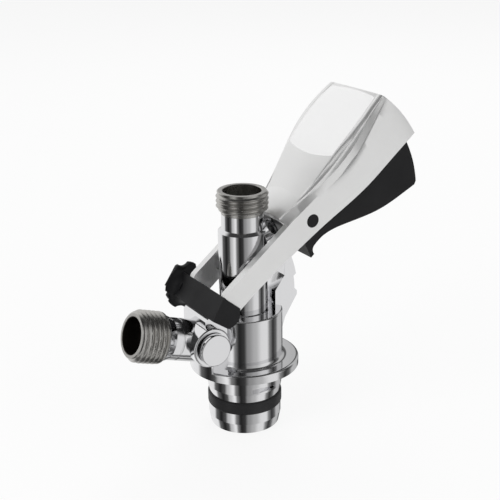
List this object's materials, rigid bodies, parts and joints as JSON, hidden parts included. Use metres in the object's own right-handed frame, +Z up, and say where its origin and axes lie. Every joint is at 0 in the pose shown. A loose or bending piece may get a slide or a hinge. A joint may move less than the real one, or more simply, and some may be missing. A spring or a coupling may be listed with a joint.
{
  "type": "keg coupler",
  "caption": "Lever-operated keg coupler with a bayonet neck, a sliding probe with a threaded outlet, a side gas inlet, a relief valve and a trigger-locked lever.",
  "frame": {"origin": "centre of the neck's mouth, in the plane of its bottom face", "axes": "+Z up along the probe axis, +X towards the lever's grip, -X towards the gas inlet, -Y towards the relief valve"},
  "size_m": [0.1414, 0.0492, 0.1472],
  "materials": {
    "chrome_body": "bright polished",
    "chrome_probe": "bright polished",
    "satin_metal": "satin",
    "steel": "turned",
    "black_rubber": "matte",
    "black_plastic": "fine texture",
    "label_white": "smooth",
    "ball_plastic": "smooth"
  },
  "bodies": {
    "housing": {"coupler_body": "chrome_body", "neck_seal": "black_rubber", "guide_seal": "black_rubber", "inlet_washer": "chrome_body", "inlet_tail": "chrome_body", "inlet_valve": "black_rubber", "inlet_ring": "steel", "relief_bush": "chrome_body"},
    "probe": {"probe_tube": "chrome_probe", "side_plug": "steel", "trunnion_pin_near": "steel", "trunnion_pin_far": "steel", "tip_seal": "black_rubber", "ball_retainer": "steel", "outlet_nipple": "chrome_probe"},
    "ball": {"check_ball": "ball_plastic"},
    "handle": {"lever": "satin_metal", "label_inset": "label_white", "hinge_pin": "steel", "hinge_bush_near": "black_plastic", "hinge_bush_far": "black_plastic", "end_clip": "black_plastic", "trigger_pin": "black_plastic", "trigger_spring": "steel"},
    "trigger": {"trigger_grip": "black_plastic", "latch_blade": "steel"},
    "relief": {"relief_stem": "steel", "relief_disc": "black_rubber", "relief_cap": "chrome_body", "relief_spring": "steel"}
  },
  "joints": [
    {"name": "lever_hinge", "type": "hinge", "parent": "housing", "child": "handle", "pos_m": [-0.0176, 0, 0.0614], "axis": [0, 1, 0], "range_deg": [0, 24]},
    {"name": "probe_slide", "type": "slide", "parent": "housing", "child": "probe", "axis": [0, 0, -1], "range_m": [0, 0.0101]},
    {"name": "trigger_squeeze", "type": "hinge", "parent": "handle", "child": "trigger", "pos_m": [0.02637, 0, 0.09511], "axis": [0, -1, 0], "range_deg": [0, 9], "stiffness_Nm_per_rad": 0.8},
    {"name": "ball_lift", "type": "slide", "parent": "probe", "child": "ball", "axis": [0, 0, 1], "range_m": [0, 0.001]},
    {"name": "relief_pull", "type": "slide", "parent": "housing", "child": "relief", "axis": [0, -1, 0], "range_m": [0, 0.0016], "stiffness_N_per_m": 900}
  ],
  "couplings": [
    {"joint": "probe_slide", "follows": "lever_hinge", "m_per_rad": 0.024026}
  ]
}
